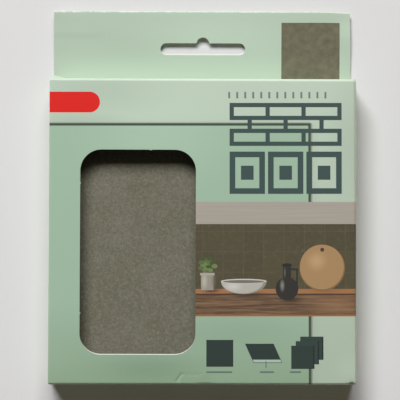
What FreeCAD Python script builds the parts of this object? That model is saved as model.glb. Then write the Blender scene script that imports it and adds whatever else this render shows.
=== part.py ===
"""Retail pack of peel and stick vinyl wall tiles, lying on its back.

Eight square self-adhesive tiles, each on its own release liner, are stacked in one folded carton.
The carton is a single die-cut sheet of folding boxboard: its long wrap (glue flap, back, side, front, side)
is glued at one corner, each end is closed by two dust flaps under a tuck-in lid, the back panel runs on
upwards as a hang tab with a hemmed top edge and a euro slot, and the front panel has a display window.

Frame: +X to the right of the pack's front, +Y towards the hang tab, +Z out of the front.
The origin is the middle of the box's back panel, on the surface that the pack lies on.
"""

import FreeCAD, Part
import math
import os

import Sketcher

VECTOR = FreeCAD.Vector
START, END, CENTRE = 1, 2, 3
ORIGIN = (-1, 1)

# Every size that can be chosen by itself, in millimetres (tile_count is a number of tiles).
SIZES = {
    "tile_side": 152.5,
    "tile_thickness": 1.2,
    "tile_bevel": 0.3,
    "tile_count": 8,
    "liner_thickness": 0.1,
    "board": 0.4,
    "fold_radius": 0.8,
    "glue_line": 0.05,
    "slip_gap": 0.05,
    "side_play": 1.5,
    "end_play": 1.0,
    "face_play": 9.35,
    "edge_trim": 0.05,
    "glue_flap_gap": 3.0,
    "glue_flap_taper": 3.0,
    "tuck_depth": 14.0,
    "tuck_trim": 0.6,
    "tuck_corner": 8.0,
    "dust_flap_length": 42.0,
    "dust_flap_corner": 3.0,
    "tab_rise": 36.5,
    "tab_lift": 4.0,
    "hem_depth": 12.8,
    "hem_gap": 0.1,
    "slot_length": 44.0,
    "slot_height": 6.3,
    "slot_from_fold": 19.55,
    "bump_radius": 3.3,
    "bump_rise": 3.0,
    "bump_fillet": 1.2,
    "window_width": 59.0,
    "window_height": 104.3,
    "window_corner": 10.8,
    "window_from_left": 15.9,
    "window_from_bottom": 15.2,
}

# Places that follow from those sizes, as formulas over the sheet.
LAYER = "(Sizes.tile_thickness + Sizes.liner_thickness)"
STACK_FLOOR = "(2 * Sizes.board + Sizes.slip_gap)"
DEPTH = f"({STACK_FLOOR} + Sizes.tile_count * {LAYER} + Sizes.face_play + Sizes.board)"
HALF_WIDTH = "(Sizes.tile_side / 2 + Sizes.side_play + 1.5 * Sizes.board + Sizes.glue_line / 2)"
HALF_HEIGHT = "(Sizes.tile_side / 2 + Sizes.end_play + 2 * Sizes.board + Sizes.slip_gap)"
OUTER_FOLD = "(Sizes.fold_radius + Sizes.board / 2)"
SIDE_END = f"({HALF_HEIGHT} - Sizes.board - Sizes.slip_gap - {OUTER_FOLD})"
FLAP_HALF_WIDTH = f"({HALF_WIDTH} - {OUTER_FOLD} - Sizes.edge_trim)"
TAB_TOP = f"({HALF_HEIGHT} + Sizes.tab_rise)"
HEM_FOLD = "((Sizes.board + Sizes.hem_gap) / 2)"
SLOT_MIDDLE = f"({TAB_TOP} - Sizes.slot_from_fold)"
SLOT_ROOF = f"({SLOT_MIDDLE} + Sizes.slot_height / 2)"
GLUE_FLAP_END = f"({DEPTH} - {OUTER_FOLD} - Sizes.glue_flap_gap)"
TILE_CENTRE_X = "((Sizes.board + Sizes.glue_line) / 2)"


def make_sheet(doc):
    """The spreadsheet of driving sizes."""
    sheet = doc.addObject("Spreadsheet::Sheet", "Sizes")
    for row, (alias, value) in enumerate(SIZES.items(), start=1):
        sheet.set(f"A{row}", alias)
        sheet.set(f"B{row}", str(value))
        sheet.setAlias(f"B{row}", alias)
    doc.recompute()
    return sheet


def value_of(feature, expression):
    """The number that a formula over the sheet comes to."""
    return float(feature.evalExpression(expression))


def origin_plane(body, role):
    """One of a body's own three origin planes."""
    return next(f for f in body.Origin.OriginFeatures if f.Role == role)


def new_sketch(body, name, role, offset=None):
    """A sketch on an origin plane of its body, moved along the plane's normal by a formula."""
    sketch = body.newObject("Sketcher::SketchObject", name)
    sketch.AttachmentSupport = [(origin_plane(body, role), "")]
    sketch.MapMode = "FlatFace"
    if offset is not None:
        sketch.setExpression(".AttachmentOffset.Base.z", offset)
    return sketch


def drive(sketch, kind, *where, by):
    """Adds a dimension to a sketch and binds it to a formula."""
    index = sketch.addConstraint(Sketcher.Constraint(kind, *where, value_of(sketch, by)))
    sketch.setExpression(f"Constraints[{index}]", by)


def fix_point(sketch, geometry, end, u=None, v=None):
    """Holds one end of a line or arc at formulas for its two sketch coordinates."""
    if u is not None:
        drive(sketch, "DistanceX", *ORIGIN, geometry, end, by=u)
    if v is not None:
        drive(sketch, "DistanceY", *ORIGIN, geometry, end, by=v)


def add_line(sketch, start, end):
    return sketch.addGeometry(Part.LineSegment(VECTOR(*start, 0), VECTOR(*end, 0)), False)


def add_arc(sketch, centre, radius, start_angle, end_angle):
    circle = Part.Circle(VECTOR(*centre, 0), VECTOR(0, 0, 1), radius)
    return sketch.addGeometry(Part.ArcOfCircle(circle, start_angle, end_angle), False)


def add_rectangle(sketch, low_u, high_u, low_v, high_v):
    """A rectangle between four formulas."""
    u0, u1, v0, v1 = (value_of(sketch, e) for e in (low_u, high_u, low_v, high_v))
    corners = [(u0, v0), (u1, v0), (u1, v1), (u0, v1)]
    lines = [add_line(sketch, corners[i], corners[(i + 1) % 4]) for i in range(4)]
    for i, line in enumerate(lines):
        sketch.addConstraint(Sketcher.Constraint("Coincident", line, END, lines[(i + 1) % 4], START))
        sketch.addConstraint(Sketcher.Constraint("Vertical" if i % 2 else "Horizontal", line))
    fix_point(sketch, lines[0], START, low_u, low_v)
    fix_point(sketch, lines[2], START, high_u, high_v)


def add_triangle(sketch, *corners):
    """A triangle between three pairs of formulas."""
    points = [(value_of(sketch, u), value_of(sketch, v)) for u, v in corners]
    lines = [add_line(sketch, points[i], points[(i + 1) % 3]) for i in range(3)]
    for i, line in enumerate(lines):
        sketch.addConstraint(Sketcher.Constraint("Coincident", line, END, lines[(i + 1) % 3], START))
        fix_point(sketch, line, START, *corners[i])


def add_folded_path(sketch, runs, start, end, radius):
    """The middle line of a folded board: straight runs along the sketch axes, joined by tangent creases.

    Each run is ("u", formula) where it keeps that u, or ("v", formula) where it keeps that v.
    start and end are formulas for the free coordinate at the two ends, and radius is the creases' own.
    """
    bend = value_of(sketch, radius)
    levels = [value_of(sketch, formula) for _, formula in runs]

    def point(index, free):
        return (levels[index], free) if runs[index][0] == "u" else (free, levels[index])

    corners = [point(i, levels[i + 1]) for i in range(len(runs) - 1)]
    ends = [point(0, value_of(sketch, start))] + corners + [point(len(runs) - 1, value_of(sketch, end))]
    steps = [VECTOR(b[0] - a[0], b[1] - a[1], 0).normalize() for a, b in zip(ends, ends[1:])]

    lines, arcs = [], []
    for i, step in enumerate(steps):
        a, b = VECTOR(*ends[i], 0), VECTOR(*ends[i + 1], 0)
        a = a if i == 0 else a + step * bend
        b = b if i == len(steps) - 1 else b - step * bend
        lines.append(add_line(sketch, (a.x, a.y), (b.x, b.y)))
    for i, (before, after) in enumerate(zip(steps, steps[1:])):
        corner = VECTOR(*ends[i + 1], 0)
        centre = corner - before * bend + after * bend
        turns_left = before.cross(after).z > 0
        first, last = (-after, before) if turns_left else (before, -after)
        arc = add_arc(sketch, (centre.x, centre.y), bend, math.atan2(first.y, first.x), math.atan2(last.y, last.x))
        arcs.append((arc, (START, END) if turns_left else (END, START)))

    for i, (arc, (enters, leaves)) in enumerate(arcs):
        sketch.addConstraint(Sketcher.Constraint("Tangent", lines[i], END, arc, enters))
        sketch.addConstraint(Sketcher.Constraint("Tangent", lines[i + 1], START, arc, leaves))
        if i:
            sketch.addConstraint(Sketcher.Constraint("Equal", arcs[0][0], arc))
    drive(sketch, "Radius", arcs[0][0], by=radius)
    for line, (axis, formula) in zip(lines, runs):
        sketch.addConstraint(Sketcher.Constraint("Vertical" if axis == "u" else "Horizontal", line))
        fix_point(sketch, line, START, **{axis: formula})
    fix_point(sketch, lines[0], START, **{"v" if runs[0][0] == "u" else "u": start})
    fix_point(sketch, lines[-1], END, **{"v" if runs[-1][0] == "u" else "u": end})


def sweep_board(body, name, section, path):
    """Sweeps a strip of board along its folded middle line."""
    pipe = body.newObject("PartDesign::AdditivePipe", name)
    pipe.Profile = section
    pipe.Spine = (path, [f"Edge{i + 1}" for i in range(len(path.Geometry))])
    pipe.Transition = "Right corner"
    body.Document.recompute()
    return pipe


def cut(body, name, sketch, length, towards_normal=False, symmetric=False):
    """Cuts a sketch's outline out of the body over a length given by a formula."""
    before = body.Shape.Volume
    pocket = body.newObject("PartDesign::Pocket", name)
    pocket.Profile = sketch
    pocket.Midplane = symmetric
    pocket.Reversed = towards_normal
    pocket.setExpression("Length", length)
    body.Document.recompute()
    if not body.Shape.Volume < before:
        raise RuntimeError(f"{name} cut nothing away")
    return pocket


def repeat_mirrored(body, name, features, roles):
    """Repeats features across one or more of the body's own origin planes."""
    multi = body.newObject("PartDesign::MultiTransform", name)
    multi.Originals = features
    steps = []
    for role in roles:
        step = body.newObject("PartDesign::Mirrored", f"{name}_{role}")
        step.MirrorPlane = (origin_plane(body, role), [""])
        steps.append(step)
    multi.Transformations = steps
    body.Tip = multi
    body.Document.recompute()
    return multi


def corner_edges(body, along, **places):
    """Names of the board-thick edges that run along one axis, at given distances from the body's middle planes."""
    board = value_of(body, "Sizes.board")
    names = []
    for i, edge in enumerate(body.Shape.Edges, start=1):
        box, middle = edge.BoundBox, edge.CenterOfMass
        lengths = {"x": box.XLength, "y": box.YLength, "z": box.ZLength}
        if abs(lengths[along] - board) > 1e-3 or sum(lengths.values()) > board + 1e-3:
            continue
        offsets = {axis: abs(getattr(middle, axis)) for axis in places}
        if all(min(abs(offsets[axis] - place) for place in wanted) < 1e-3 for axis, wanted in places.items()):
            names.append(f"Edge{i}")
    return names


def round_corners(body, name, edges, expected, radius):
    """Rounds a known number of edges of the body so far."""
    if len(edges) != expected:
        raise RuntimeError(f"{name} found {len(edges)} edges and not {expected}")
    fillet = body.newObject("PartDesign::Fillet", name)
    fillet.Base = (fillet.BaseFeature, edges)
    fillet.setExpression("Radius", radius)
    body.Document.recompute()


def add_rounded_rectangle(sketch, low_u, high_u, low_v, high_v, radius):
    """A rectangle between four formulas with its corners rounded."""
    u0, u1, v0, v1, r = (value_of(sketch, e) for e in (low_u, high_u, low_v, high_v, radius))
    lines = [
        add_line(sketch, (u0 + r, v0), (u1 - r, v0)),
        add_line(sketch, (u1, v0 + r), (u1, v1 - r)),
        add_line(sketch, (u1 - r, v1), (u0 + r, v1)),
        add_line(sketch, (u0, v1 - r), (u0, v0 + r)),
    ]
    centres = [(u1 - r, v0 + r), (u1 - r, v1 - r), (u0 + r, v1 - r), (u0 + r, v0 + r)]
    arcs = []
    for i, centre in enumerate(centres):
        arcs.append(add_arc(sketch, centre, r, (i - 1) * math.pi / 2, i * math.pi / 2))
    for i, arc in enumerate(arcs):
        sketch.addConstraint(Sketcher.Constraint("Tangent", lines[i], END, arc, START))
        sketch.addConstraint(Sketcher.Constraint("Tangent", arc, END, lines[(i + 1) % 4], START))
        if i:
            sketch.addConstraint(Sketcher.Constraint("Equal", arcs[0], arc))
    for i, line in enumerate(lines):
        sketch.addConstraint(Sketcher.Constraint("Vertical" if i % 2 else "Horizontal", line))
    drive(sketch, "Radius", arcs[0], by=radius)
    fix_point(sketch, lines[0], START, v=low_v)
    fix_point(sketch, lines[1], START, u=high_u)
    fix_point(sketch, lines[2], START, v=high_v)
    fix_point(sketch, lines[3], START, u=low_u)


def add_euro_slot(sketch):
    """The slot that takes a shop peg: a long hole with round ends and a round bump in the middle of its roof."""
    half_height = value_of(sketch, "Sizes.slot_height / 2")
    reach = value_of(sketch, "Sizes.slot_length / 2 - Sizes.slot_height / 2")
    middle = value_of(sketch, SLOT_MIDDLE)
    roof = value_of(sketch, SLOT_ROOF)
    bump = value_of(sketch, "Sizes.bump_radius")
    fillet = value_of(sketch, "Sizes.bump_fillet")
    bump_y = roof + value_of(sketch, "Sizes.bump_rise") - bump
    fillet_x = math.sqrt((bump + fillet) ** 2 - (roof + fillet - bump_y) ** 2)
    turn = math.atan2(roof + fillet - bump_y, fillet_x)
    half_turn, quarter = math.pi, math.pi / 2

    sill = add_line(sketch, (-reach, middle - half_height), (reach, middle - half_height))
    right_end = add_arc(sketch, (reach, middle), half_height, -quarter, quarter)
    right_roof = add_line(sketch, (reach, roof), (fillet_x, roof))
    right_fillet = add_arc(sketch, (fillet_x, roof + fillet), fillet, half_turn + turn, 3 * quarter)
    crown = add_arc(sketch, (0, bump_y), bump, turn, half_turn - turn)
    left_fillet = add_arc(sketch, (-fillet_x, roof + fillet), fillet, -quarter, -turn)
    left_roof = add_line(sketch, (-fillet_x, roof), (-reach, roof))
    left_end = add_arc(sketch, (-reach, middle), half_height, quarter, 3 * quarter)

    joints = [
        (sill, END, right_end, START),
        (right_end, END, right_roof, START),
        (right_roof, END, right_fillet, END),
        (right_fillet, START, crown, START),
        (crown, END, left_fillet, END),
        (left_fillet, START, left_roof, START),
        (left_roof, END, left_end, START),
        (left_end, END, sill, START),
    ]
    for joint in joints:
        sketch.addConstraint(Sketcher.Constraint("Tangent", *joint))
    for line in (sill, right_roof, left_roof):
        sketch.addConstraint(Sketcher.Constraint("Horizontal", line))
    sketch.addConstraint(Sketcher.Constraint("Equal", right_end, left_end))
    sketch.addConstraint(Sketcher.Constraint("Equal", right_fillet, left_fillet))
    drive(sketch, "Radius", right_end, by="Sizes.slot_height / 2")
    drive(sketch, "Radius", crown, by="Sizes.bump_radius")
    drive(sketch, "Radius", right_fillet, by="Sizes.bump_fillet")
    fix_point(sketch, right_end, CENTRE, "Sizes.slot_length / 2 - Sizes.slot_height / 2", SLOT_MIDDLE)
    fix_point(sketch, left_end, CENTRE, "-(Sizes.slot_length / 2 - Sizes.slot_height / 2)")
    fix_point(sketch, crown, CENTRE, "0", f"{SLOT_ROOF} + Sizes.bump_rise - Sizes.bump_radius")


def make_lidded_front(body):
    """The front panel's middle strip, creased at each end into a lid and a tongue that tucks in at the back."""
    path = new_sketch(body, "lid_path", "YZ_Plane")
    front_z = f"({DEPTH} - Sizes.board / 2)"
    lid_y = f"({HALF_HEIGHT} - Sizes.board / 2)"
    tongue_z = "(1.5 * Sizes.board + Sizes.slip_gap)"
    tongue_end = f"({HALF_HEIGHT} - Sizes.tuck_depth)"
    runs = [("v", tongue_z), ("u", lid_y), ("v", front_z), ("u", f"(-{lid_y})"), ("v", tongue_z)]
    add_folded_path(path, runs, start=tongue_end, end=f"(-{tongue_end})", radius="Sizes.fold_radius")
    section = new_sketch(body, "lid_section", "XZ_Plane", offset=f"(-{tongue_end})")
    low_z, high_z = "(Sizes.board + Sizes.slip_gap)", "(2 * Sizes.board + Sizes.slip_gap)"
    add_rectangle(section, f"(-{FLAP_HALF_WIDTH})", FLAP_HALF_WIDTH, low_z, high_z)
    sweep_board(body, "lidded_front", section, path)

    # the tongues are narrower than their lids, so that they clear the glue flap's crease
    sides = new_sketch(body, "tongue_sides", "XY_Plane", offset=f"({low_z} - Sizes.slip_gap)")
    tongue_root = f"({HALF_HEIGHT} - {OUTER_FOLD})"
    tongue_half_width = f"({FLAP_HALF_WIDTH} - Sizes.tuck_trim)"
    for side, near, far in (("", tongue_half_width, HALF_WIDTH), ("-", HALF_WIDTH, tongue_half_width)):
        add_rectangle(sides, f"({side}{near})", f"({side}{far})", f"(-{tongue_root})", tongue_root)
    cut(body, "tongue_sides_cut", sides, "Sizes.board + 2 * Sizes.slip_gap", towards_normal=True)
    places = {"x": [value_of(body, tongue_half_width)], "y": [value_of(body, tongue_end)]}
    round_corners(body, "tongue_corners", corner_edges(body, "z", **places), 4, "Sizes.tuck_corner")


def make_wrap(body):
    """Glue flap, back, right side, front and left side: one strip folded round the stack."""
    glue_x = f"(-{HALF_WIDTH} + 1.5 * Sizes.board + Sizes.glue_line)"
    side_x = f"({HALF_WIDTH} - Sizes.board / 2)"
    back_z = "(Sizes.board / 2)"
    front_z = f"({DEPTH} - Sizes.board / 2)"
    path = new_sketch(body, "wrap_path", "XZ_Plane")
    runs = [("u", glue_x), ("v", back_z), ("u", side_x), ("v", front_z), ("u", f"(-{side_x})")]
    add_folded_path(path, runs, start=GLUE_FLAP_END, end="0", radius="Sizes.fold_radius")
    section = new_sketch(body, "wrap_section", "XY_Plane", offset=GLUE_FLAP_END)
    half_board = "Sizes.board / 2"
    add_rectangle(section, f"{glue_x} - {half_board}", f"{glue_x} + {half_board}", f"(-{SIDE_END})", SIDE_END)
    sweep_board(body, "wrap", section, path)

    # the glue flap's two ends slope, so that it slides in past the dust flaps
    behind_flap = f"({glue_x} - {half_board} - Sizes.glue_line / 2)"
    taper = new_sketch(body, "glue_flap_slope", "YZ_Plane", offset=behind_flap)
    add_triangle(
        taper,
        (SIDE_END, OUTER_FOLD),
        (SIDE_END, f"{GLUE_FLAP_END} + Sizes.board"),
        (f"{SIDE_END} - Sizes.glue_flap_taper", f"{GLUE_FLAP_END} + Sizes.board"),
    )
    slope = cut(body, "glue_flap_slope_cut", taper, "Sizes.board + Sizes.glue_line", towards_normal=True)
    repeat_mirrored(body, "glue_flap_slopes", [slope], ["XZ_Plane"])


def make_back_edge(body):
    """The back panel's free bottom edge, behind the tuck-in lid."""
    strip = new_sketch(body, "back_edge_strip", "XY_Plane")
    low = f"(-({HALF_HEIGHT} - Sizes.edge_trim))"
    add_rectangle(strip, f"(-{FLAP_HALF_WIDTH})", FLAP_HALF_WIDTH, low, f"(-{SIDE_END})")
    pad = body.newObject("PartDesign::Pad", "back_edge")
    pad.Profile = strip
    pad.setExpression("Length", "Sizes.board")
    body.Document.recompute()


def make_hang_tab(body):
    """The back panel carried on upwards, springing a little forward, with a hem folded behind and a euro slot."""
    path = new_sketch(body, "tab_path", "YZ_Plane")
    low_z = "Sizes.board / 2"
    fold_y = f"({TAB_TOP} - {HEM_FOLD} - Sizes.board / 2)"
    fold_z = f"(Sizes.tab_lift + Sizes.board / 2 - {HEM_FOLD})"
    root = (value_of(path, HALF_HEIGHT), value_of(path, low_z))
    centre = (value_of(path, fold_y), value_of(path, fold_z))
    fold = value_of(path, HEM_FOLD)
    hem_run = value_of(path, f"Sizes.hem_depth - {HEM_FOLD} - Sizes.board / 2")
    slope = math.atan2(centre[1] + fold - root[1], centre[0] - root[0])
    along, outward = VECTOR(math.cos(slope), math.sin(slope), 0), VECTOR(-math.sin(slope), math.cos(slope), 0)
    top = VECTOR(*centre, 0) + outward * fold
    under = VECTOR(*centre, 0) - outward * fold

    flat = add_line(path, (value_of(path, SIDE_END), root[1]), root)
    rise = add_line(path, root, (top.x, top.y))
    turn = add_arc(path, centre, fold, slope - math.pi / 2, slope + math.pi / 2)
    hem = add_line(path, (under.x, under.y), (under.x - along.x * hem_run, under.y - along.y * hem_run))
    path.addConstraint(Sketcher.Constraint("Coincident", flat, END, rise, START))
    path.addConstraint(Sketcher.Constraint("Tangent", rise, END, turn, END))
    path.addConstraint(Sketcher.Constraint("Tangent", turn, START, hem, START))
    path.addConstraint(Sketcher.Constraint("Horizontal", flat))
    path.addConstraint(Sketcher.Constraint("Parallel", rise, hem))
    drive(path, "Radius", turn, by=HEM_FOLD)
    drive(path, "Distance", hem, by=f"Sizes.hem_depth - {HEM_FOLD} - Sizes.board / 2")
    fix_point(path, flat, START, SIDE_END, low_z)
    fix_point(path, flat, END, u=HALF_HEIGHT)
    fix_point(path, turn, CENTRE, fold_y, fold_z)

    section = new_sketch(body, "tab_section", "XZ_Plane", offset=f"(-{SIDE_END})")
    add_rectangle(section, f"(-{FLAP_HALF_WIDTH})", FLAP_HALF_WIDTH, "0", "Sizes.board")
    sweep_board(body, "hang_tab", section, path)

    slot = new_sketch(body, "euro_slot", "XY_Plane")
    add_euro_slot(slot)
    cut(body, "euro_slot_cut", slot, "2 * (Sizes.tab_lift + Sizes.board)", symmetric=True)


def make_dust_flaps(body):
    """Four short flaps, creased off the side panels' ends and folded in under the lids."""
    side_x = f"({HALF_WIDTH} - Sizes.board / 2)"
    flap_y = f"({HALF_HEIGHT} - 1.5 * Sizes.board - Sizes.slip_gap)"
    flap_end = f"({HALF_WIDTH} - Sizes.dust_flap_length)"
    low_z = f"(Sizes.board + 2 * Sizes.slip_gap + {OUTER_FOLD})"
    high_z = f"({DEPTH} - {OUTER_FOLD} - Sizes.slip_gap)"
    path = new_sketch(body, "dust_flap_path", "XY_Plane")
    start = f"({SIDE_END} - Sizes.board)"
    add_folded_path(path, [("u", side_x), ("v", flap_y)], start=start, end=flap_end, radius="Sizes.fold_radius")
    section = new_sketch(body, "dust_flap_section", "XZ_Plane", offset=f"(-{start})")
    add_rectangle(section, f"{HALF_WIDTH} - Sizes.board", HALF_WIDTH, low_z, high_z)
    flap = sweep_board(body, "dust_flap", section, path)
    repeat_mirrored(body, "dust_flaps", [flap], ["YZ_Plane", "XZ_Plane"])

    levels = [value_of(body, low_z), value_of(body, high_z)]
    corners = corner_edges(body, "y", x=[value_of(body, flap_end)], z=levels)
    round_corners(body, "dust_flap_corners", corners, 8, "Sizes.dust_flap_corner")


def make_window(body):
    """The die-cut display window in the front panel, over the top tile."""
    left = f"(-{HALF_WIDTH} + Sizes.window_from_left)"
    low = f"(-{HALF_HEIGHT} + Sizes.window_from_bottom)"
    outline = new_sketch(body, "window_outline", "XY_Plane", offset=DEPTH)
    right = f"({left} + Sizes.window_width)"
    high = f"({low} + Sizes.window_height)"
    add_rounded_rectangle(outline, left, right, low, high, "Sizes.window_corner")
    cut(body, "window", outline, "1.5 * Sizes.board")


def make_carton(doc):
    """The whole folded blank."""
    body = doc.addObject("PartDesign::Body", "carton")
    body.Label = "carton"
    make_lidded_front(body)
    make_wrap(body)
    make_back_edge(body)
    make_hang_tab(body)
    make_dust_flaps(body)
    make_window(body)
    return body


def make_sheet_body(doc, label, thickness, level):
    """A square of the tile's size, of one thickness, lying at its own level in the stack."""
    body = doc.addObject("PartDesign::Body", label)
    body.Label = label
    half = "Sizes.tile_side / 2"
    square = new_sketch(body, f"{label}_square", "XY_Plane")
    add_rectangle(square, f"(-{half})", half, f"(-{half})", half)
    pad = body.newObject("PartDesign::Pad", f"{label}_sheet")
    pad.Profile = square
    pad.setExpression("Length", thickness)
    body.setExpression(".Placement.Base.x", TILE_CENTRE_X)
    body.setExpression(".Placement.Base.z", level)
    doc.recompute()
    return body


def make_tile(doc, index):
    """One vinyl tile, its printed face up and its four top edges bevelled like a grout joint's sides."""
    level = f"{STACK_FLOOR} + {index} * {LAYER} + Sizes.liner_thickness"
    body = make_sheet_body(doc, f"tile_{index + 1}", "Sizes.tile_thickness", level)
    top = value_of(body, "Sizes.tile_thickness")
    names = []
    for i, edge in enumerate(body.Tip.Shape.Edges, start=1):
        if abs(edge.BoundBox.ZMin - top) < 1e-6 and edge.BoundBox.ZLength < 1e-6:
            names.append(f"Edge{i}")
    bevel = body.newObject("PartDesign::Chamfer", f"tile_{index + 1}_bevel")
    bevel.Base = (bevel.BaseFeature, names)
    bevel.setExpression("Size", "Sizes.tile_bevel")
    doc.recompute()
    return body


def make_release_liner(doc, index):
    """The waxed paper that covers one tile's adhesive."""
    level = f"{STACK_FLOOR} + {index} * {LAYER}"
    return make_sheet_body(doc, f"release_liner_{index + 1}", "Sizes.liner_thickness", level)


def build():
    doc = FreeCAD.newDocument("tile_pack")
    make_sheet(doc)
    pieces = [make_carton(doc)]
    for index in range(round(float(SIZES["tile_count"]))):
        pieces.append(make_release_liner(doc, index))
        pieces.append(make_tile(doc, index))
    doc.recompute()

    for feature in doc.Objects:
        if "Invalid" in feature.State or "Error" in feature.State:
            raise RuntimeError(f"{feature.Label} did not compute")
    for piece in pieces:
        if piece.Shape.isNull() or not piece.Shape.isValid() or len(piece.Shape.Solids) != 1:
            raise RuntimeError(f"{piece.Label} is not one sound solid")
    os.makedirs("parts", exist_ok=True)
    for piece in pieces:
        piece.Shape.exportStep(f"parts/{piece.Label}.step")
    return doc, pieces


build()
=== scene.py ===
import bpy
import bmesh
import math
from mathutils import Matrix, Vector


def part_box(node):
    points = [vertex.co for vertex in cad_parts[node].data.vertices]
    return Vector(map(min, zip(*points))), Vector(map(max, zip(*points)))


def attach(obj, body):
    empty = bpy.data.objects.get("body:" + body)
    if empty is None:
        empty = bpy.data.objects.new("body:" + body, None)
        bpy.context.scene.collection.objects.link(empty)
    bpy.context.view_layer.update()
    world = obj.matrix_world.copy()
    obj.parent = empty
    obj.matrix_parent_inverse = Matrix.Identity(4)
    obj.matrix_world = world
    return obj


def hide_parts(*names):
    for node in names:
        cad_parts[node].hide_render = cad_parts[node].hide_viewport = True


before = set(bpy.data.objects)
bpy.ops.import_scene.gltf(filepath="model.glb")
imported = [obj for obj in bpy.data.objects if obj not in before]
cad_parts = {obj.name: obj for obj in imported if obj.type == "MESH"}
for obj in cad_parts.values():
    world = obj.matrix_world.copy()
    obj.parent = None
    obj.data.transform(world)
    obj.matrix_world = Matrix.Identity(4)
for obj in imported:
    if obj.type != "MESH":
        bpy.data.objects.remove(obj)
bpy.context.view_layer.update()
bpy.context.scene.view_settings.view_transform = "Standard"


# Tiles and release liners.
# Eight calendered vinyl squares with a matt printed face, stacked with a sheet of waxed paper under each.
# The print imitates worn olive grey leather: cloudy patches, pale scuffs and a fine grain pressed into the film.
MM = 0.001
CLOUD_SIZE, SCUFF_SIZE, GRAIN_SIZE = 16.0, 1.8, 0.9


def linear(code):
    """An sRGB hex colour as the linear RGBA that shaders take."""
    shades = [int(code[i:i + 2], 16) / 255 for i in (1, 3, 5)]
    return [s / 12.92 if s <= 0.04045 else ((s + 0.055) / 1.055) ** 2.4 for s in shades] + [1.0]


def add_node(material, kind, inputs=None, **settings):
    """Adds one shader node with its settings. An input that is a node or a socket is linked, any other is set."""
    node = material.node_tree.nodes.new("ShaderNode" + kind)
    for name, value in settings.items():
        setattr(node, name, value)
    for name, value in (inputs or {}).items():
        if isinstance(value, bpy.types.Node):
            value = next(outlet for outlet in value.outputs if not outlet.is_unavailable)
        if isinstance(value, bpy.types.NodeSocket):
            material.node_tree.links.new(value, node.inputs[name])
        else:
            node.inputs[name].default_value = value
    return node


def new_finish(name):
    """A material with an empty node tree."""
    material = bpy.data.materials.new(name)
    material.use_nodes = True
    material.node_tree.nodes.clear()
    return material


def make_vinyl():
    """Calendered PVC film, printed and embossed: dull, in slow clouds, with scuffs of 2 mm and a grain of 1 mm."""
    material = new_finish("calendered_matt_vinyl")
    place = add_node(material, "TexCoord").outputs["Object"]
    in_mm = add_node(material, "VectorMath", {0: place, 1: (1 / MM, 1 / MM, 1 / MM)}, operation="MULTIPLY")
    clouds = add_node(material, "TexNoise", {"Vector": in_mm, "Scale": 1 / CLOUD_SIZE, "Detail": 4.0,
                                             "Roughness": 0.6})
    scuffs = add_node(material, "TexNoise", {"Vector": in_mm, "Scale": 1 / SCUFF_SIZE, "Detail": 6.0,
                                             "Roughness": 0.75})
    grain = add_node(material, "TexNoise", {"Vector": in_mm, "Scale": 1 / GRAIN_SIZE, "Detail": 3.0,
                                            "Roughness": 0.8})
    pits = add_node(material, "TexVoronoi", {"Vector": in_mm, "Scale": 1 / GRAIN_SIZE, "Randomness": 1.0})
    base = add_node(material, "ValToRGB", {"Fac": clouds})
    for stop, spot, code in zip(base.color_ramp.elements, (0.36, 0.64), ("#6f6d5b", "#777565")):
        stop.position, stop.color = spot, linear(code)
    pale = add_node(material, "MapRange", {"Value": scuffs, "From Min": 0.48, "From Max": 0.7, "To Max": 0.65})
    worn = add_node(material, "Mix", {"Factor": pale, "A": base, "B": linear("#8a887b")}, data_type="RGBA")
    dark = add_node(material, "MapRange", {"Value": grain, "From Min": 0.52, "From Max": 0.34, "To Max": 0.5})
    colour = add_node(material, "Mix", {"Factor": dark, "A": worn, "B": linear("#504e41")}, data_type="RGBA")
    relief = add_node(material, "Bump", {"Height": pits, "Strength": 0.3, "Distance": 0.08 * MM})
    shader = add_node(material, "BsdfPrincipled", {"Base Color": colour, "Normal": relief, "Roughness": 0.68,
                                                   "Specular IOR Level": 0.12})
    add_node(material, "OutputMaterial", {"Surface": shader})
    return material


def make_waxed_paper():
    """Glassine with a silicone wax on it: smooth, off-white and a little glossy. Its fibres of 0.03 mm are drawn 1 mm
    wide, so that they show."""
    material = new_finish("waxed_release_paper")
    place = add_node(material, "TexCoord").outputs["Object"]
    fibres = add_node(material, "TexNoise", {"Vector": place, "Scale": 900.0, "Detail": 3.0})
    tint = add_node(material, "Mix", {"Factor": fibres, "A": linear("#e4e1d6"), "B": linear("#f0eee6")},
                    data_type="RGBA")
    shader = add_node(material, "BsdfPrincipled", {"Base Color": tint, "Roughness": 0.35, "Coat Weight": 0.3})
    add_node(material, "OutputMaterial", {"Surface": shader})
    return material


vinyl, waxed_paper = make_vinyl(), make_waxed_paper()
for name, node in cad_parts.items():
    if name.startswith(("tile_", "release_liner_")):
        node.data.materials.clear()
        node.data.materials.append(vinyl if name.startswith("tile_") else waxed_paper)


# Carton.
# One die-cut sheet of 0.4 mm folding boxboard, folded round the stack: front, sides, back and glue flap in a wrap,
# a lid with a tuck-in tongue and two dust flaps at each end, and the back panel carried on into the hang tab.
# It is modelled as the board's middle surface, then creased, dented by handling, thickened and die-cut.
BOARD = 0.4 * MM
CELL = 2.0 * MM
carton_low, carton_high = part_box("carton")
SIDE_X = carton_high.x - BOARD / 2 - 0.01 * MM
LID_Y = -carton_low.y - BOARD / 2 - 0.06 * MM
FRONT_Z = carton_high.z - BOARD / 2 - 0.01 * MM
BACK_Z = BOARD / 2
PANEL_X = SIDE_X - 2.0 * MM
PANEL_Y = LID_Y - 1.25 * MM
LID_X = SIDE_X - 0.85 * MM
GLUE_X = -SIDE_X + 0.45 * MM
FLAP_LOW, FLAP_HIGH = 1.5 * MM, FRONT_Z - 1.6 * MM
TONGUE_Z = 0.65 * MM
TAB_START = 78.1 * MM
TAB_LEAN, TAB_LEAN_PIVOT = math.radians(-1.0), 66 * MM
FRONT_FALL = 1.2 * MM
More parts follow.
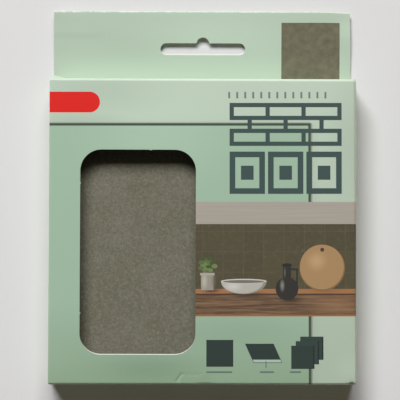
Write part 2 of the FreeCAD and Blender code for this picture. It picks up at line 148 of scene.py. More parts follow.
CREASE_LINE, FOLD_RADIUS = 0.15 * MM, 0.76 * MM
PRINTED, INSIDE, CORE = 0, 1, 2
# a corner this close to a place counts as lying there
NEAR = 0.01 * MM
# in millimetres, as folding out takes its steps: how far the front runs on flat before it slopes down to its right,
# top and bottom creases, how far a side runs on to its dust flaps' creases, and how far the flaps reach
RIGHT_FLAT, TOP_FLAT, BOTTOM_FLAT, DUST_FLAP_ROOT = 1.1, 0.4, 0.65, 0.8
TONGUE_DEPTH, DUST_FLAP_LENGTH, GLUE_FLAP_WIDTH = 13.8, 41.8, 16.8


def fit_primitive(size):
    """Brings a primitive just added, one unit across, to its size, and gives its place and size to its mesh."""
    piece = bpy.context.object
    piece.scale = size
    bpy.ops.object.transform_apply(location=True, rotation=True, scale=True)
    return piece


def pick(kind, test):
    """Selects only those vertices, edges or faces of the edited mesh whose corners all pass a test."""
    mesh = bpy.context.edit_object.data
    bpy.context.tool_settings.mesh_select_mode = (kind == "verts", kind == "edges", kind == "faces")
    bpy.ops.mesh.select_all(action="DESELECT")
    sheet = bmesh.from_edit_mesh(mesh)
    for part in getattr(sheet, kind):
        part.select = test(part.co) if kind == "verts" else all(test(v.co) for v in part.verts)
    sheet.select_flush_mode()
    bmesh.update_edit_mesh(mesh)


def fold_out(test, *steps):
    """Extrudes the picked edge of the sheet by each step in turn, in millimetres."""
    pick("edges", test)
    for step in steps:
        bpy.ops.mesh.extrude_edges_move(TRANSFORM_OT_translate={"value": [s * MM for s in step]})


def at(value, wanted):
    """Whether a coordinate is the wanted one."""
    return abs(value - wanted) < NEAR


def on_front(p):
    """Whether a place is on the front panel, or on its slopes to the creases."""
    return p.z > FRONT_Z - FRONT_FALL


bpy.ops.object.select_all(action="DESELECT")
bpy.ops.mesh.primitive_grid_add(x_subdivisions=round(2 * PANEL_X / CELL), y_subdivisions=round(2 * PANEL_Y / CELL),
                                size=1, location=(0, 0, FRONT_Z))
carton = fit_primitive((2 * PANEL_X, 2 * PANEL_Y, 1))
carton.name = carton.data.name = "carton_board"
bpy.ops.object.mode_set(mode="EDIT")
bpy.ops.mesh.select_all(action="SELECT")
bpy.ops.mesh.duplicate_move(TRANSFORM_OT_translate={"value": (0, 0, BACK_Z - FRONT_Z)})

# the front slopes down to its creases, most at the right and at both ends, and hardly at the left
fold_out(lambda p: at(p.x, PANEL_X) and on_front(p), (RIGHT_FLAT, 0, 0), (0.25, 0, -0.3), (0.65, 0, -0.78))
fold_out(lambda p: at(p.x, -PANEL_X) and on_front(p), (-1.15, 0, -0.05), (-0.85, 0, -0.15))
fold_out(lambda p: at(p.y, PANEL_Y) and on_front(p), (0, TOP_FLAT, 0), (0, 0.85, -0.6))
fold_out(lambda p: at(p.y, -PANEL_Y) and on_front(p), (0, -BOTTOM_FLAT, 0), (0, -0.6, -0.7))

# the wrap: right side down to the back, left side down to the table, and the glue flap up inside it
down_side = [(0, 0, (FLAP_LOW - FLAP_HIGH) / MM / 4)] * 4
fold_out(lambda p: at(p.x, SIDE_X) and on_front(p) and abs(p.y) < PANEL_Y + NEAR,
         (0, 0, -0.52), *down_side, (0, 0, (BACK_Z - FLAP_LOW) / MM))
fold_out(lambda p: at(p.x, PANEL_X) and at(p.z, BACK_Z), (1.15, 0, 0), (0.85, 0, 0))
fold_out(lambda p: at(p.x, -SIDE_X) and on_front(p) and abs(p.y) < PANEL_Y + NEAR,
         (0, 0, -1.4), *down_side, (0, 0, -FLAP_LOW / MM))
fold_out(lambda p: at(p.x, -PANEL_X) and at(p.z, BACK_Z), ((GLUE_X + PANEL_X) / MM, 0, 0), (0, 0, GLUE_FLAP_WIDTH))

# a lid at each end, and its tongue tucked in against the back
for end in (1, -1):
    fold_out(lambda p: at(p.y, end * LID_Y) and on_front(p) and abs(p.x) < LID_X + NEAR,
             *[(0, 0, (TONGUE_Z - FRONT_Z) / MM / 6 + 0.1)] * 6)
    pick("verts", lambda p: at(p.y, end * LID_Y) and p.z < 2 * MM)
    bpy.ops.transform.resize(value=(1, 1, 0), center_override=(0, end * LID_Y, TONGUE_Z))
    fold_out(lambda p: at(p.y, end * LID_Y) and at(p.z, TONGUE_Z), (0, -end * TONGUE_DEPTH, 0))

# the back's free lower edge, and the hang tab: two flat millimetres, then a gentle rise to a hem turned down behind
TAB_ROWS = [(0, 2.15, 0.238)] * 11 + [(0, 0.4, 0.044)] + [(0, 1.92, 0.212)] * 6 + [(0, 0.6, 0.02)]
HEM_ROWS = [(0, 0.12, -0.1), (0, 0, -0.3), (0, -0.12, -0.1)] + [(0, -3.1, -0.344)] * 4
fold_out(lambda p: at(p.y, -PANEL_Y) and at(p.z, BACK_Z) and -PANEL_X - NEAR < p.x < LID_X + NEAR, (0, -1.4, 0))
fold_out(lambda p: at(p.y, PANEL_Y) and at(p.z, BACK_Z) and -PANEL_X - NEAR < p.x < LID_X + NEAR,
         (0, (TAB_START - PANEL_Y) / MM, 0), *TAB_ROWS, *HEM_ROWS)
pick("verts", lambda p: at(p.x, -PANEL_X) and abs(p.y) > PANEL_Y + 1 * MM and (p.z < 1 * MM or p.y > TAB_START))
bpy.ops.transform.translate(value=(PANEL_X - LID_X, 0, 0))
# the tab's right edge leans in a little towards its top
pick("verts", lambda p: at(p.x, LID_X) and p.y > TAB_START + 1 * MM)
bpy.ops.transform.rotate(value=TAB_LEAN, orient_axis="Z", center_override=(LID_X, TAB_LEAN_PIVOT, 0))

# four dust flaps, creased off the ends of the two sides
for side in (1, -1):
    for end in (1, -1):
        fold_out(lambda p: (at(p.x, side * SIDE_X) and at(p.y, end * PANEL_Y)
                            and FLAP_LOW - NEAR < p.z < FLAP_HIGH + NEAR),
                 (0, end * DUST_FLAP_ROOT, 0), (-side * DUST_FLAP_LENGTH, 0, 0))

bpy.ops.mesh.select_all(action="SELECT")
bpy.ops.mesh.remove_doubles(threshold=NEAR / 2)
# the hem shows the sheet's other side, so what points out there points into the box elsewhere
bpy.ops.mesh.normals_make_consistent(inside=True)


def is_sharp_crease(p):
    """The pressed lines round the front, where the print cracks a little."""
    across = at(p.y, PANEL_Y + TOP_FLAT * MM) or at(p.y, -PANEL_Y - BOTTOM_FLAT * MM)
    across = (across or at(abs(p.y), LID_Y)) and abs(p.x) < LID_X + NEAR
    along = (at(p.x, PANEL_X + RIGHT_FLAT * MM) or at(abs(p.x), SIDE_X)) and abs(p.y) < PANEL_Y + NEAR
    return on_front(p) and (across or along)


def is_round_crease(p):
    """The folds that turn round the bending board."""
    behind = at(p.z, BACK_Z) and (at(p.x, SIDE_X) or at(p.x, GLUE_X))
    at_tongue = at(abs(p.y), LID_Y) and at(p.z, TONGUE_Z)
    at_dust_flap = at(abs(p.x), SIDE_X) and at(abs(p.y), PANEL_Y + DUST_FLAP_ROOT * MM)
    return behind or at_tongue or at_dust_flap


pick("edges", is_sharp_crease)
bpy.ops.mesh.bevel(offset=CREASE_LINE, offset_type="OFFSET", segments=2, profile=0.5, affect="EDGES")
pick("edges", is_round_crease)
bpy.ops.mesh.bevel(offset=FOLD_RADIUS, offset_type="OFFSET", segments=4, profile=0.5, affect="EDGES")

# the front's right and lower creases aren't quite square: the first is turned a little about its middle, the second
# about its left end
for test, turn, pivot in ((lambda p: PANEL_X + 0.8 * MM < p.x < SIDE_X - 0.3 * MM, -0.3, (PANEL_X, 9 * MM)),
                          (lambda p: p.y < -PANEL_Y - 0.1 * MM, -0.13, (-PANEL_X, -PANEL_Y))):
    pick("verts", lambda p: on_front(p) and test(p))
    bpy.ops.transform.rotate(value=math.radians(turn), orient_axis="Z", center_override=(*pivot, 0))

# handling buckled the front over its lower edge, so the board is given finer cells there
pick("faces", lambda p: on_front(p) and -20 * MM < p.x < 6 * MM and -PANEL_Y - NEAR < p.y < -66 * MM)
bpy.ops.mesh.subdivide(number_cuts=3)


def push(where, move, width):
    """Moves the vertex nearest a place, and less and less of the sheet round it."""
    mesh = bpy.context.edit_object.data
    bpy.context.tool_settings.mesh_select_mode = (True, False, False)
    bpy.ops.mesh.select_all(action="DESELECT")
    sheet = bmesh.from_edit_mesh(mesh)
    nearest = min(sheet.verts, key=lambda v: sum((v.co[i] - where[i] * MM) ** 2 for i in range(3)))
    nearest.select = True
    sheet.select_flush_mode()
    bmesh.update_edit_mesh(mesh)
    bpy.ops.transform.translate(value=[m * MM for m in move], use_proportional_edit=True,
                                use_proportional_connected=True, proportional_edit_falloff="SMOOTH",
                                proportional_size=width * MM)


# what handling did to it: where, in millimetres, how far it moved there, and how wide the dent is
BOW = [((20, 5, 20.8), (0, 0, -0.5), 70), ((-20, 20, 20.8), (0, 0, -0.2), 50)]
LID_BULGE = [((-76.2, 77.9, 12.0), (0, 2.3, 0), 9.5)]
BUCKLE = [((-10.6 - i * 0.33, -72.6 - i * 0.5, 20.8), (0.0, 0, -0.22), 1.1) for i in range(9)]
BUCKLE += [((-9.6 + i * 1.5, -72.7 - i % 2 * 0.4, 20.8), (0, 0, -0.1), 1.2) for i in range(7)]
LOWER_EDGE = [((1.5, -77.9, 20.05), (0, 0.3, -0.2), 6), ((75.2, -77.9, 20.0), (0, 0.9, -0.4), 2.8)]
TAB_CORNERS = [((77.3, 114.3, 4.2), (0, -0.5, -1.6), 16), ((-76.2, 114.3, 4.2), (0, 0, 0.4), 4)]
for where, move, width in BOW + LID_BULGE + BUCKLE + LOWER_EDGE + TAB_CORNERS:
    push(where, move, width)

# the left crease was pressed once more beside the fold, and the hem's end lifts the left of the tab over it a little
pick("verts", lambda p: at(p.x, -PANEL_X) and on_front(p))
bpy.ops.transform.translate(value=(0, 0, -0.1 * MM))
pick("verts", lambda p: p.y > 102.0 * MM and p.x < -52 * MM)
bpy.ops.transform.translate(value=(0, 0, 0.05 * MM))
bpy.ops.object.mode_set(mode="OBJECT")


# the print: how it is turned on the board, a reach past the sheet on every side, from where to where the grout lines
# run, the inks that are used more than once, and the colours of the painted light and shade
PRINT_TURN = math.radians(-0.2)
PAST = 90
GROUT_IN, GROUT_OUT = 54.6, 55.2
PAINTED_LIGHT, PAINTED_SHADE, GROUT_INK = "#c9e6cd", "#4f6a55", "#3f493d"
PATTERN_INK, SIGN_INK, SIGN_EDGE_INK = "#364946", "#202e29", "#5b6f68"


def make_printed_board():
    """Clay-coated board, offset printed and varnished: a satin green, even but for the painted light and shade, with
    the design on the front. Every place is in millimetres on the front, squared up with the print."""
    material = new_finish("satin_varnished_boxboard")
    place = add_node(material, "TexCoord").outputs["Object"]
    squared = add_node(material, "Mapping", {"Vector": place, "Rotation": (0, 0, PRINT_TURN),
                                             "Scale": (1 / MM, 1 / MM, 1 / MM)})
    x, y, z = add_node(material, "SeparateXYZ", {"Vector": squared}).outputs

    def block(x0, x1, y0, y1, across=x, up=y):
        """1 inside a rectangle."""
        beside = add_node(material, "Math", {0: across, 1: (x0 + x1) / 2, 2: (x1 - x0) / 2}, operation="COMPARE")
        beyond = add_node(material, "Math", {0: up, 1: (y0 + y1) / 2, 2: (y1 - y0) / 2}, operation="COMPARE")
        return add_node(material, "Math", {0: beside, 1: beyond}, operation="MULTIPLY")

    def way_out(centre_x, centre_y, radius_x, radius_y):
        """0 in the middle of an ellipse and 1 on its edge."""
        off = add_node(material, "VectorMath", {0: squared, 1: (1 / radius_x, 1 / radius_y, 0),
                                                2: (-centre_x / radius_x, -centre_y / radius_y, 0)},
                       operation="MULTIPLY_ADD")
        return add_node(material, "VectorMath", {0: off}, operation="LENGTH").outputs["Value"]

    def disc(centre_x, centre_y, radius_x, radius_y):
        """1 inside an ellipse."""
        reach = way_out(centre_x, centre_y, radius_x, radius_y)
        return add_node(material, "Math", {0: reach, 1: 1.0}, operation="LESS_THAN")

    def bowl(centre_x, centre_y, radius_x, radius_y):
        """1 inside the lower half of an ellipse."""
        return add_node(material, "Math", {0: disc(centre_x, centre_y, radius_x, radius_y),
                                           1: block(-PAST, PAST, -PAST, centre_y)}, operation="MULTIPLY")

    def glow(centre_x, centre_y, radius_x, radius_y, strength):
        """A mask of this strength in the middle of an ellipse, which fades out to its edge."""
        reach = way_out(centre_x, centre_y, radius_x, radius_y)
        return add_node(material, "MapRange", {"Value": reach, "From Min": 1.0, "From Max": 0.0, "To Max": strength},
                        interpolation_type="SMOOTHSTEP")

    def lay_colour(under, colour, mask):
        """Lays a colour over what lies under it, as strongly as the mask says: print, and in places painted light and
        shade.
        """
        colour = linear(colour) if isinstance(colour, str) else colour
        return add_node(material, "Mix", {"Factor": mask, "A": under, "B": colour}, data_type="RGBA")

    # the greens: pale outside the grout lines, deeper inside them, both a little darker towards the bottom
    height = add_node(material, "MapRange", {"Value": y, "From Min": -78.0, "From Max": 78.0})
    foot = add_node(material, "MapRange", {"Value": y, "From Min": -82.0, "From Max": -36.0})
    pale = lay_colour(linear("#abbca7"), "#bccdba", height)
    deep = lay_colour(linear("#8aa387"), "#9db8a0", foot)
    colour = lay_colour(pale, deep, block(-PAST, GROUT_IN, -PAST, GROUT_IN))

    # painted light and shade: lighter and darker green patches stand in for how the gently bent front catches the
    # light, chiefly lighter above the window and darker below it, at the top left and down the right edge
    PAINTED_LIGHT_AND_SHADE = [(PAINTED_LIGHT, (-20, 50, 58, 38, 0.2)), (PAINTED_SHADE, (-27, -70, 40, 12, 0.24)), (PAINTED_SHADE, (-52, 72, 50, 17, 0.12)),
             (PAINTED_SHADE, (-62, 57, 34, 5, 0.12)), (PAINTED_SHADE, (77, 48, 18, 48, 0.14)), (PAINTED_SHADE, (16, -50, 50, 14, 0.12)),
             (PAINTED_LIGHT, (-76, -66, 13, 16, 0.04)), (PAINTED_LIGHT, (78, -70, 16, 12, 0.14))]
    for shade, spot in PAINTED_LIGHT_AND_SHADE:
        colour = lay_colour(colour, shade, glow(*spot))

    # the two grout lines, each with a wide and a narrow soft shade on its far side
    GROUT_SHADES = [(y, 58.0, 0.08, "#6f7a69", (-PAST, GROUT_IN, GROUT_IN, 60)),
                    (x, 60.0, 0.12, "#6f7a69", (GROUT_IN, 60, -PAST, GROUT_IN)),
                    (y, 56.1, 0.83, GROUT_INK, (-PAST, GROUT_OUT, GROUT_IN, 60)),
                    (x, 56.35, 1.15, GROUT_INK, (GROUT_IN, 60, -PAST, GROUT_OUT))]
    for across, end, most, shade, side in GROUT_SHADES:
        fading = add_node(material, "MapRange", {"Value": across, "From Min": end, "From Max": GROUT_IN,
                                                 "To Max": most})
        strength = add_node(material, "Math", {0: fading, 1: block(*side)}, operation="MULTIPLY")
        colour = lay_colour(colour, shade, strength)
    for line in ((-PAST, 55.15, 53.95, GROUT_OUT), (54.0, 55.15, -PAST, GROUT_OUT)):
        colour = lay_colour(colour, GROUT_INK, block(*line))

    # the picture's ground: a plastered wall, brushed sideways, with glazed tiles on it, over a wooden worktop
    PICTURE_LEFT, PICTURE_TOP, PICTURE_FOOT = -6, 15.0, -43.3
    TILES_TOP, WORKTOP_TOP = 3.7, -29.35
    sideways = add_node(material, "VectorMath", {0: squared, 1: (0.03, 1.6, 1)}, operation="MULTIPLY")
    brushed = add_node(material, "TexNoise", {"Vector": sideways, "Scale": 1.0, "Detail": 3.0})
    ridges = add_node(material, "MapRange", {"Value": brushed, "From Min": 0.45, "From Max": 0.75, "To Max": 0.5})
    plaster = lay_colour(linear("#a49d92"), "#b2ab9f", ridges)
    colour = lay_colour(colour, plaster, block(PICTURE_LEFT, PAST, PICTURE_FOOT, PICTURE_TOP))
    joints = add_node(material, "TexBrick", {
        "Vector": squared, "Color1": linear("#4b4531"), "Color2": linear("#47412e"), "Mortar": linear("#544e39"),
        "Scale": 1.0, "Mortar Size": 0.18, "Brick Width": 10.4, "Row Height": 10.4}, offset=0.0)
    mottle = add_node(material, "TexNoise", {"Vector": squared, "Scale": 0.5, "Detail": 5.0, "Roughness": 0.7})
    spots = add_node(material, "MapRange", {"Value": mottle, "From Min": 0.5, "From Max": 0.8, "To Max": 0.5})
    glazed = lay_colour(joints.outputs["Color"], "#67624c", spots)
    colour = lay_colour(colour, glazed, block(PICTURE_LEFT, PAST, WORKTOP_TOP, TILES_TOP))
    along_grain = add_node(material, "VectorMath", {0: squared, 1: (0.06, 1.3, 1)}, operation="MULTIPLY")
    figure = add_node(material, "TexNoise", {"Vector": along_grain, "Scale": 0.8, "Detail": 6.0, "Roughness": 0.65})
    wood = add_node(material, "ValToRGB", {"Fac": figure})
    for stop, spot, code in zip(wood.color_ramp.elements, (0.36, 0.66), ("#4b3626", "#85694e")):
        stop.position, stop.color = spot, linear(code)
    colour = lay_colour(colour, wood, block(PICTURE_LEFT, PAST, PICTURE_FOOT, WORKTOP_TOP))

    # what stands there, each thing with its shade first
    worktop = [
        ("#9c6f49", block, (PICTURE_LEFT, PAST, -31.7, WORKTOP_TOP)),
        ("#3f2a1d", block, (PICTURE_LEFT, PAST, -32.4, -31.7)),
        ("#96633a", block, (PICTURE_LEFT, PAST, PICTURE_FOOT, -42.4)), ("#a07a58", glow, (68, -37, 20, 6, 0.5)),
    ]
    round_board = [
        ("#3b3627", glow, (62.6, -20.6, 14.5, 14.5, 0.8)), ("#7d6240", disc, (61.0, -18.6, 11.6, 11.8)),
        ("#a4845c", disc, (60.8, -18.2, 11.2, 11.4)), ("#c4a77c", glow, (58.2, -15.2, 6.6, 6.6, 0.6)),
        ("#39342a", disc, (61.0, -9.4, 1.0, 1.0)),
    ]
    pale_bowl = [
        ("#3a2c20", glow, (22.6, -32.4, 14.6, 2.6, 0.9)), ("#8d897d", bowl, (21.0, -25.4, 11.6, 6.6)),
        ("#b3b0a6", bowl, (20.2, -25.4, 10.8, 6.2)), ("#d2d0c7", glow, (15.5, -28.0, 6.5, 3.4, 0.7)),
        ("#cac7be", disc, (21.0, -25.4, 11.6, 1.2)), ("#716d63", disc, (21.0, -25.6, 10.6, 0.8)),
    ]
    black_jug = [
        ("#2f2419", glow, (45.0, -35.0, 9.0, 2.6, 0.9)), ("#24221e", disc, (43.0, -29.2, 5.8, 5.9)),
        ("#24221e", block, (40.9, 45.1, -25.5, -17.2)), ("#1a1816", disc, (43.0, -17.2, 2.5, 0.9)),
        ("#24221e", block, (45.1, 48.6, -19.8, -18.9)), ("#24221e", block, (47.7, 48.6, -27.0, -18.9)),
        ("#8f8c84", glow, (40.6, -27.6, 1.6, 4.2, 0.8)), ("#6d6a63", glow, (41.9, -21.0, 0.8, 3.8, 0.7)),
    ]
    # a herb in a pot: a spray of leaves, each turned 2.4 radians on from the one before it, and a little further out
    LEAF_TURN = 2.4
    herb = [("#3a2c20", glow, (4.4, -30.2, 6.6, 1.8, 0.9))]
    for i in range(16):
        spread, turn = math.sqrt(i), LEAF_TURN * i
        leaf = (2.4 + 1.05 * spread * math.cos(turn), -17.0 + spread * math.sin(turn), 1.5, 1.1)
        herb.append((("#55663c", "#6b7c4e", "#404d2b")[i % 3], disc, leaf))
    pot = [
        ("#968f82", block, (-0.8, 5.6, -30.0, -21.6)), ("#b8b2a6", glow, (0.9, -25.4, 2.2, 6.0, 0.9)),
        ("#6f695e", glow, (5.6, -25.4, 1.8, 6.0, 0.7)), ("#a8a397", block, (-1.3, 6.1, -22.4, -21.2)),
    ]
    for shade, shape, size in worktop + round_board + pale_bowl + black_jug + herb + pot:
        colour = lay_colour(colour, shade, shape(*size))

    # the bar with its round end, and the row of ticks beside it
    for shape in (block(-PAST, -57.7, 60.7, 71.3), disc(-57.7, 66.0, 5.3, 5.3)):
        colour = lay_colour(colour, "#d61910", shape)
    TICK_START, TICK_STEP = 13.6, 4.1
    from_tick = add_node(material, "Math", {0: x, 1: TICK_START}, operation="SUBTRACT")
    to_tick = add_node(material, "Math", {0: from_tick, 1: TICK_STEP / 2}, operation="PINGPONG")
    ticks = add_node(material, "Math", {0: block(-0.5, 0.5, 67.9, 71.2, across=to_tick),
                                        1: block(13.0, 63.4, 67.0, 72.0)}, operation="MULTIPLY")
    colour = lay_colour(colour, "#6b7c72", ticks)

    # two bands of laying pattern, a running bond over a row of framed squares
    PATTERN_LEFT, BAND, ROW, BRICK, SQUARE = 13.8, 2.2, 6.6, 18.35, 19.6
    bands = [(PATTERN_LEFT, 71.05, 43.6 + i * ROW, 43.6 + i * ROW + BAND) for i in range(4)]
    for i in range(4):
        left = PATTERN_LEFT + i * BRICK
        bands += [(left, left + BAND, low, low + 7.0) for low in (44.8, 58.0)]
    for i in range(3):
        left = PATTERN_LEFT + (i + 0.5) * BRICK
        bands.append((left, left + BAND, 51.4, 58.0))
    for band in bands:
        colour = lay_colour(colour, PATTERN_INK, block(*band))
    for i in range(3):
        left = PATTERN_LEFT + i * SQUARE
        border = add_node(material, "Math", {0: block(left, left + 18.05, 19.1, 40.7),
                                             1: block(left + 2.9, left + 15.15, 22.0, 37.8)}, operation="SUBTRACT")
        colour = lay_colour(colour, PATTERN_INK, border)
        colour = lay_colour(colour, PATTERN_INK, block(left + 5.8, left + 12.25, 26.3, 33.5))

    # three plain pictograms: one tile, its thickness, and a set of them, with a plain dash under each
    colour = lay_colour(colour, SIGN_INK, block(1.9, 15.6, -68.9, -55.25))
    SLAB_TOP, SLAB_LEAN = -57.2, 0.45
    down = add_node(material, "Math", {0: y, 1: -SLAB_TOP}, operation="ADD")
    lean = add_node(material, "Math", {0: down, 1: SLAB_LEAN, 2: x}, operation="MULTIPLY_ADD")
    colour = lay_colour(colour, SIGN_EDGE_INK, block(21.5, 36.2, -67.0, SLAB_TOP, across=lean))
    colour = lay_colour(colour, "#a9c0ab", block(21.9, 35.8, -66.6, -65.3, across=lean))
    colour = lay_colour(colour, SIGN_INK, block(21.7, 36.0, -65.3, SLAB_TOP, across=lean))
    colour = lay_colour(colour, SIGN_EDGE_INK, block(32.0, 32.5, -69.5, -66.0))
    STACK_LEFT, STACK_BASE, STACK_STEP = 45.1, -70.0, 2.3
    for i, shade in ((2, "#293833"), (1, "#2b3a35"), (0, "#24322d")):
        left, base = STACK_LEFT + i * STACK_STEP, STACK_BASE + i * STACK_STEP
        colour = lay_colour(colour, "#0d1412", block(left, left + 11.8, base, base + 11.8))
        colour = lay_colour(colour, shade, block(left, left + 11.2, base + 0.3, base + 11.8))
    for left, right in ((1.9, 15.0), (29.2, 36.3), (44.5, 50.0)):
        colour = lay_colour(colour, "#5d6f66", block(left, right, -72.05, -71.2))

    # the sides, back and lids are the plain pale green, with painted shade over the tab's left half and painted light
    # across its upper middle, and the tab has its square swatch
    front = add_node(material, "Math", {0: z, 1: (FRONT_Z - FRONT_FALL) / MM}, operation="GREATER_THAN")
    plain = lay_colour(linear("#adbfaa"), "#b6c8b4", height)
    plain = lay_colour(plain, PAINTED_SHADE, glow(-46, 95, 50, 14, 0.08))
    plain = lay_colour(plain, "#d6ecd8", glow(8, 106, 60, 17, 0.22))
    colour = lay_colour(plain, colour, front)
    cloud = add_node(material, "TexNoise", {"Vector": squared, "Scale": 0.3, "Detail": 6.0, "Roughness": 0.6})
    swatch = lay_colour(linear("#4c4936"), "#807d68", cloud)
    above = add_node(material, "Math", {0: z, 1: 0.3}, operation="GREATER_THAN")
    on_tab = add_node(material, "Math", {0: block(41.2, 71.55, 79.5, 108.8), 1: above}, operation="MULTIPLY")
    colour = lay_colour(colour, swatch, on_tab)

    # wear and painted highlight: along the top crease and the tab's fold the print has cracked and the white board
    # shows, and the whitening is made stronger there as a painted highlight where these folds face the light
    wear_and_highlight_noise = add_node(material, "TexNoise", {"Vector": squared, "Scale": 0.35, "Detail": 4.0, "Roughness": 0.7})
    for edge, most in ((block(77.2, 80.0, 19.6, 22.0, across=y, up=z), 0.08),
                       (block(114.0, 116.0, 3.5, 5.0, across=y, up=z), 0.7)):
        wear_and_highlight = add_node(material, "MapRange", {"Value": wear_and_highlight_noise, "From Min": 0.35, "From Max": 0.65, "To Max": most})
        colour = lay_colour(colour, "#eef4ec", add_node(material, "Math", {0: edge, 1: wear_and_highlight}, operation="MULTIPLY"))

    # the fibres under the varnish, drawn coarse enough to show
    fibre = add_node(material, "TexNoise", {"Vector": squared, "Scale": 1.6, "Detail": 6.0})
    relief = add_node(material, "Bump", {"Height": fibre, "Strength": 0.05, "Distance": 0.1 * MM})
    shader = add_node(material, "BsdfPrincipled", {"Base Color": colour, "Normal": relief, "Roughness": 0.48,
                                                   "Specular IOR Level": 0.3})
    add_node(material, "OutputMaterial", {"Surface": shader})
    return material


def make_raw_board(name, dark, light):
    """Board that has nothing printed on it, the grey inside or the white core that a die cut shows: dull and a little
    rough, with its fibres drawn about fifty times too coarse, so that they show."""
    material = new_finish(name)
    place = add_node(material, "TexCoord").outputs["Object"]
    fibres = add_node(material, "TexNoise", {"Vector": place, "Scale": 700.0, "Detail": 4.0})
    tint = add_node(material, "Mix", {"Factor": fibres, "A": linear(dark), "B": linear(light)}, data_type="RGBA")
    relief = add_node(material, "Bump", {"Height": fibres, "Strength": 0.1, "Distance": 0.05 * MM})
    shader = add_node(material, "BsdfPrincipled", {"Base Color": tint, "Normal": relief, "Roughness": 0.85,
                                                   "Specular IOR Level": 0.3})
    add_node(material, "OutputMaterial", {"Surface": shader})
    return material


printed = make_printed_board()
inside = make_raw_board("uncoated_board_back", "#857f70", "#969080")
core = make_raw_board("white_board_core", "#c9cdc3", "#d4d8ce")
for board in (printed, inside, core):
    carton.data.materials.append(board)


def apply_modifier(piece, kind, **settings):
    """Adds a modifier to a piece and makes its result the piece's own mesh."""
    modifier = piece.modifiers.new(kind.lower(), kind)
    for name, value in settings.items():
        setattr(modifier, name, value)
    bpy.ops.object.select_all(action="DESELECT")
    bpy.context.view_layer.objects.active = piece
    piece.select_set(True)
    bpy.ops.object.modifier_apply(modifier=modifier.name)


apply_modifier(carton, "SOLIDIFY", thickness=BOARD, offset=0.0, use_quality_normals=True,
               material_offset=INSIDE, material_offset_rim=CORE)
# the tab is printed green on both sides
for face in carton.data.polygons:
    if face.material_index == INSIDE and face.center.y > LID_Y + 0.4 * MM and face.center.z < 10 * MM:
        face.material_index = PRINTED

# the display window and the euro slot, punched through the board, with the nicks that held the window's waste
WINDOW = {"x": (-62.475, -3.475), "y": (-62.85, 41.6), "z": (17.0, 24.0), "corner": 10.8}
SLOT = {"x": (-22.0, 22.0), "y": (92.05, 98.2), "z": (-2.0, 8.0), "corner": 3.06}
BUMP_RADIUS, BUMP_Y = 3.3, 97.9
NICK_HALF = 0.4
NICKS = [(WINDOW["x"][0], 24.4), (WINDOW["x"][0], -41.8), (-26.5, WINDOW["y"][1])]


def make_punch(x, y, z, corner):
    """A block with rounded upright edges, in millimetres, whose cut leaves the board's core showing."""
    bpy.ops.object.select_all(action="DESELECT")
    bpy.ops.mesh.primitive_cube_add(size=1, location=[sum(span) / 2 * MM for span in (x, y, z)])
    punch = fit_primitive([(span[1] - span[0]) * MM for span in (x, y, z)])
    punch.data.materials.append(core)
    bpy.ops.object.mode_set(mode="EDIT")
    bpy.context.tool_settings.mesh_select_mode = (False, True, False)
    bpy.ops.mesh.select_all(action="DESELECT")
    sheet = bmesh.from_edit_mesh(punch.data)
    for edge in sheet.edges:
        edge.select = abs(edge.verts[0].co.z - edge.verts[1].co.z) > NEAR
    bmesh.update_edit_mesh(punch.data)
    if corner:
        bpy.ops.mesh.bevel(offset=corner * MM, segments=12, affect="EDGES")
    bpy.ops.object.mode_set(mode="OBJECT")
    return punch


def combine(piece, other, operation):
    """Cuts another block out of a piece, or joins it on, and does away with the block."""
    apply_modifier(piece, "BOOLEAN", operation=operation, object=other, solver="EXACT", material_mode="TRANSFER")
    bpy.data.objects.remove(other)


window_punch = make_punch(**WINDOW)
for x, y in NICKS:
    stub = make_punch((x - NICK_HALF, x + NICK_HALF), (y - NICK_HALF, y + NICK_HALF), (16.0, 25.0), corner=0)
    combine(window_punch, stub, "DIFFERENCE")
combine(carton, window_punch, "DIFFERENCE")
slot_punch = make_punch(**SLOT)
punch_low, punch_high = SLOT["z"]
bpy.ops.object.select_all(action="DESELECT")
bpy.ops.mesh.primitive_cylinder_add(vertices=48, radius=BUMP_RADIUS * MM, depth=(punch_high - punch_low) * MM,
                                    location=(0, BUMP_Y * MM, (punch_low + punch_high) / 2 * MM))
combine(slot_punch, fit_primitive((1, 1, 1)), "UNION")
combine(carton, slot_punch, "DIFFERENCE")


def roll_cut(test, pivot_y, squeeze):
    """Draws the underside of a cut edge into the opening, as the die's pressure does, so that its core shows."""
    bpy.ops.mesh.select_all(action="DESELECT")
    sheet = bmesh.from_edit_mesh(carton.data)
    for face in sheet.faces:
        middle = face.calc_center_median()
        if face.material_index == CORE and test(middle):
            for corner in face.verts:
                corner.select = corner.select or corner.co.z < middle.z
    bmesh.update_edit_mesh(carton.data)
    bpy.ops.transform.resize(value=(1, squeeze, 1), center_override=(0, pivot_y * MM, 0))


bpy.ops.object.select_all(action="DESELECT")
carton.select_set(True)
bpy.context.view_layer.objects.active = carton
bpy.ops.object.mode_set(mode="EDIT")
bpy.context.tool_settings.mesh_select_mode = (True, False, False)
# the lower edges of the window and of the slot, each drawn in from the height where its corners begin
WINDOW_ROLL_Y, SLOT_ROLL_Y = -52.4, 95.0
roll_cut(lambda p: abs(p.x) < 63 * MM and -64 * MM < p.y < WINDOW_ROLL_Y * MM and p.z > 15 * MM, WINDOW_ROLL_Y, 0.966)
roll_cut(lambda p: abs(p.x) < 23 * MM and 91 * MM < p.y < SLOT_ROLL_Y * MM and p.z < 5 * MM, SLOT_ROLL_Y, 0.73)
bpy.ops.object.mode_set(mode="OBJECT")
SMOOTH_UP_TO = math.radians(25)
bpy.ops.object.shade_smooth_by_angle(angle=SMOOTH_UP_TO)
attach(carton, "root")
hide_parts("carton")


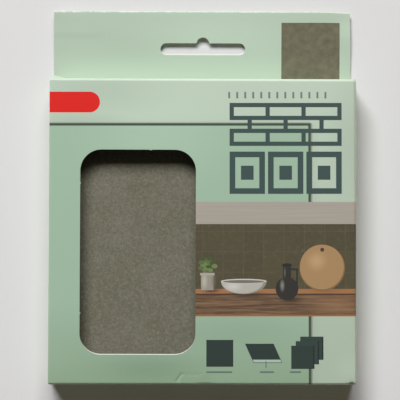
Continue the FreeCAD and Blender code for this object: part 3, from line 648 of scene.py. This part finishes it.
# Floor.
# A plain tabletop of matt white laminate, on which the pack lies. It is dull and even, and pale enough to read as a
# white background.
bpy.ops.object.select_all(action="DESELECT")
FLOOR_SIDE = 30.0
bpy.ops.mesh.primitive_plane_add(size=FLOOR_SIDE)
floor = bpy.context.object
floor.name = "floor"
laminate = new_finish("matt_white_laminate")
speckle = add_node(laminate, "TexNoise", {"Vector": add_node(laminate, "TexCoord").outputs["Object"],
                                          "Scale": 250.0, "Detail": 3.0})
laminate_colour = add_node(laminate, "Mix", {"Factor": speckle, "A": linear("#dbdbda"), "B": linear("#dddddc")},
                           data_type="RGBA")
laminate_shader = add_node(laminate, "BsdfPrincipled", {"Base Color": laminate_colour, "Roughness": 0.9,
                                                        "Specular IOR Level": 0.1})
add_node(laminate, "OutputMaterial", {"Surface": laminate_shader})
floor.data.materials.append(laminate)


# Light.
# A wide window high above the pack's top edge, brighter on its left half, pale walls low at the left and right,
# and a little warm light from all round. Each patch of the window is given by the slopes, sideways and upwards over
# height, between which the pack sees it.
LIGHT_HEIGHT, DAYLIGHT = 2.4, (0.98, 0.98, 1.0)
PATCHES = {"window_left": (-0.68, -0.12, 0.66, 1.42, 20.1), "window_right": (-0.12, 0.38, 0.66, 1.42, 10.8)}
for name, (left, right, near, far, radiance) in PATCHES.items():
    tilt = (math.atan(near) + math.atan(far)) / 2
    distance = LIGHT_HEIGHT / math.cos(tilt)
    lamp = bpy.data.lights.new(name, "AREA")
    lamp.shape = "RECTANGLE"
    lamp.size = (right - left) * LIGHT_HEIGHT
    lamp.size_y = 2 * distance * math.tan((math.atan(far) - math.atan(near)) / 2)
    lamp.energy = radiance * math.pi * lamp.size * lamp.size_y
    lamp.color = DAYLIGHT
    patch = bpy.data.objects.new(name, lamp)
    bpy.context.scene.collection.objects.link(patch)
    patch.location = ((left + right) / 2 * LIGHT_HEIGHT, distance * math.sin(tilt), LIGHT_HEIGHT)
    patch.rotation_euler = (-tilt, 0, 0)

# the light from all round, and the side walls' own, which is full where a wall starts and gone at its top
AMBIENT, SIDE_WALLS = 0.03, 5.5
WALLS_START, WALLS_TOP = 0.02, 0.2
world = bpy.data.worlds.new("pale_room")
bpy.context.scene.world = world
world.use_nodes = True
world.node_tree.nodes.clear()
# the background that the camera, gloss and glass see is near white
rays = add_node(world, "LightPath")
seen = rays.outputs["Is Camera Ray"]
for kind in ("Is Glossy Ray", "Is Transmission Ray"):
    seen = add_node(world, "Math", {0: seen, 1: rays.outputs[kind]}, operation="MAXIMUM")
toward = add_node(world, "SeparateXYZ", {"Vector": add_node(world, "TexCoord").outputs["Generated"]})
sideways = add_node(world, "Math", {0: toward.outputs["X"], 1: toward.outputs["X"]}, operation="MULTIPLY")
low = add_node(world, "MapRange", {"Value": toward.outputs["Z"], "From Min": WALLS_TOP, "From Max": WALLS_START,
                                   "To Max": SIDE_WALLS})
walls = add_node(world, "Math", {0: sideways, 1: low, 2: AMBIENT}, operation="MULTIPLY_ADD")
strength = add_node(world, "MapRange", {"Value": seen, "To Min": walls, "To Max": 1.0})
room = add_node(world, "Mix", {"Factor": seen, "A": linear("#ffe6c4"), "B": linear("#dededd")}, data_type="RGBA")
sky = add_node(world, "Background", {"Strength": strength, "Color": room})
add_node(world, "OutputWorld", {"Surface": sky})


# Camera.
# Nearly straight above the lying pack, as for a catalogue picture. Its place was worked out from the pack's edges.
CAMERA_PLACE = (-9.35 * MM, -20.27 * MM, 1.060)
CAMERA_TURN = [math.radians(a) for a in (1.997, -0.440, 0.207)]
FOCAL_PIXELS, FRAME_PIXELS = 2039.0, 400
camera_data = bpy.data.cameras.new("camera")
camera_data.sensor_width = 36.0
camera_data.lens = FOCAL_PIXELS / FRAME_PIXELS * camera_data.sensor_width
camera_data.clip_end = 100
camera = bpy.data.objects.new("camera", camera_data)
bpy.context.scene.collection.objects.link(camera)
camera.location = CAMERA_PLACE
camera.rotation_mode = "ZYX"
camera.rotation_euler = CAMERA_TURN
bpy.context.scene.camera = camera
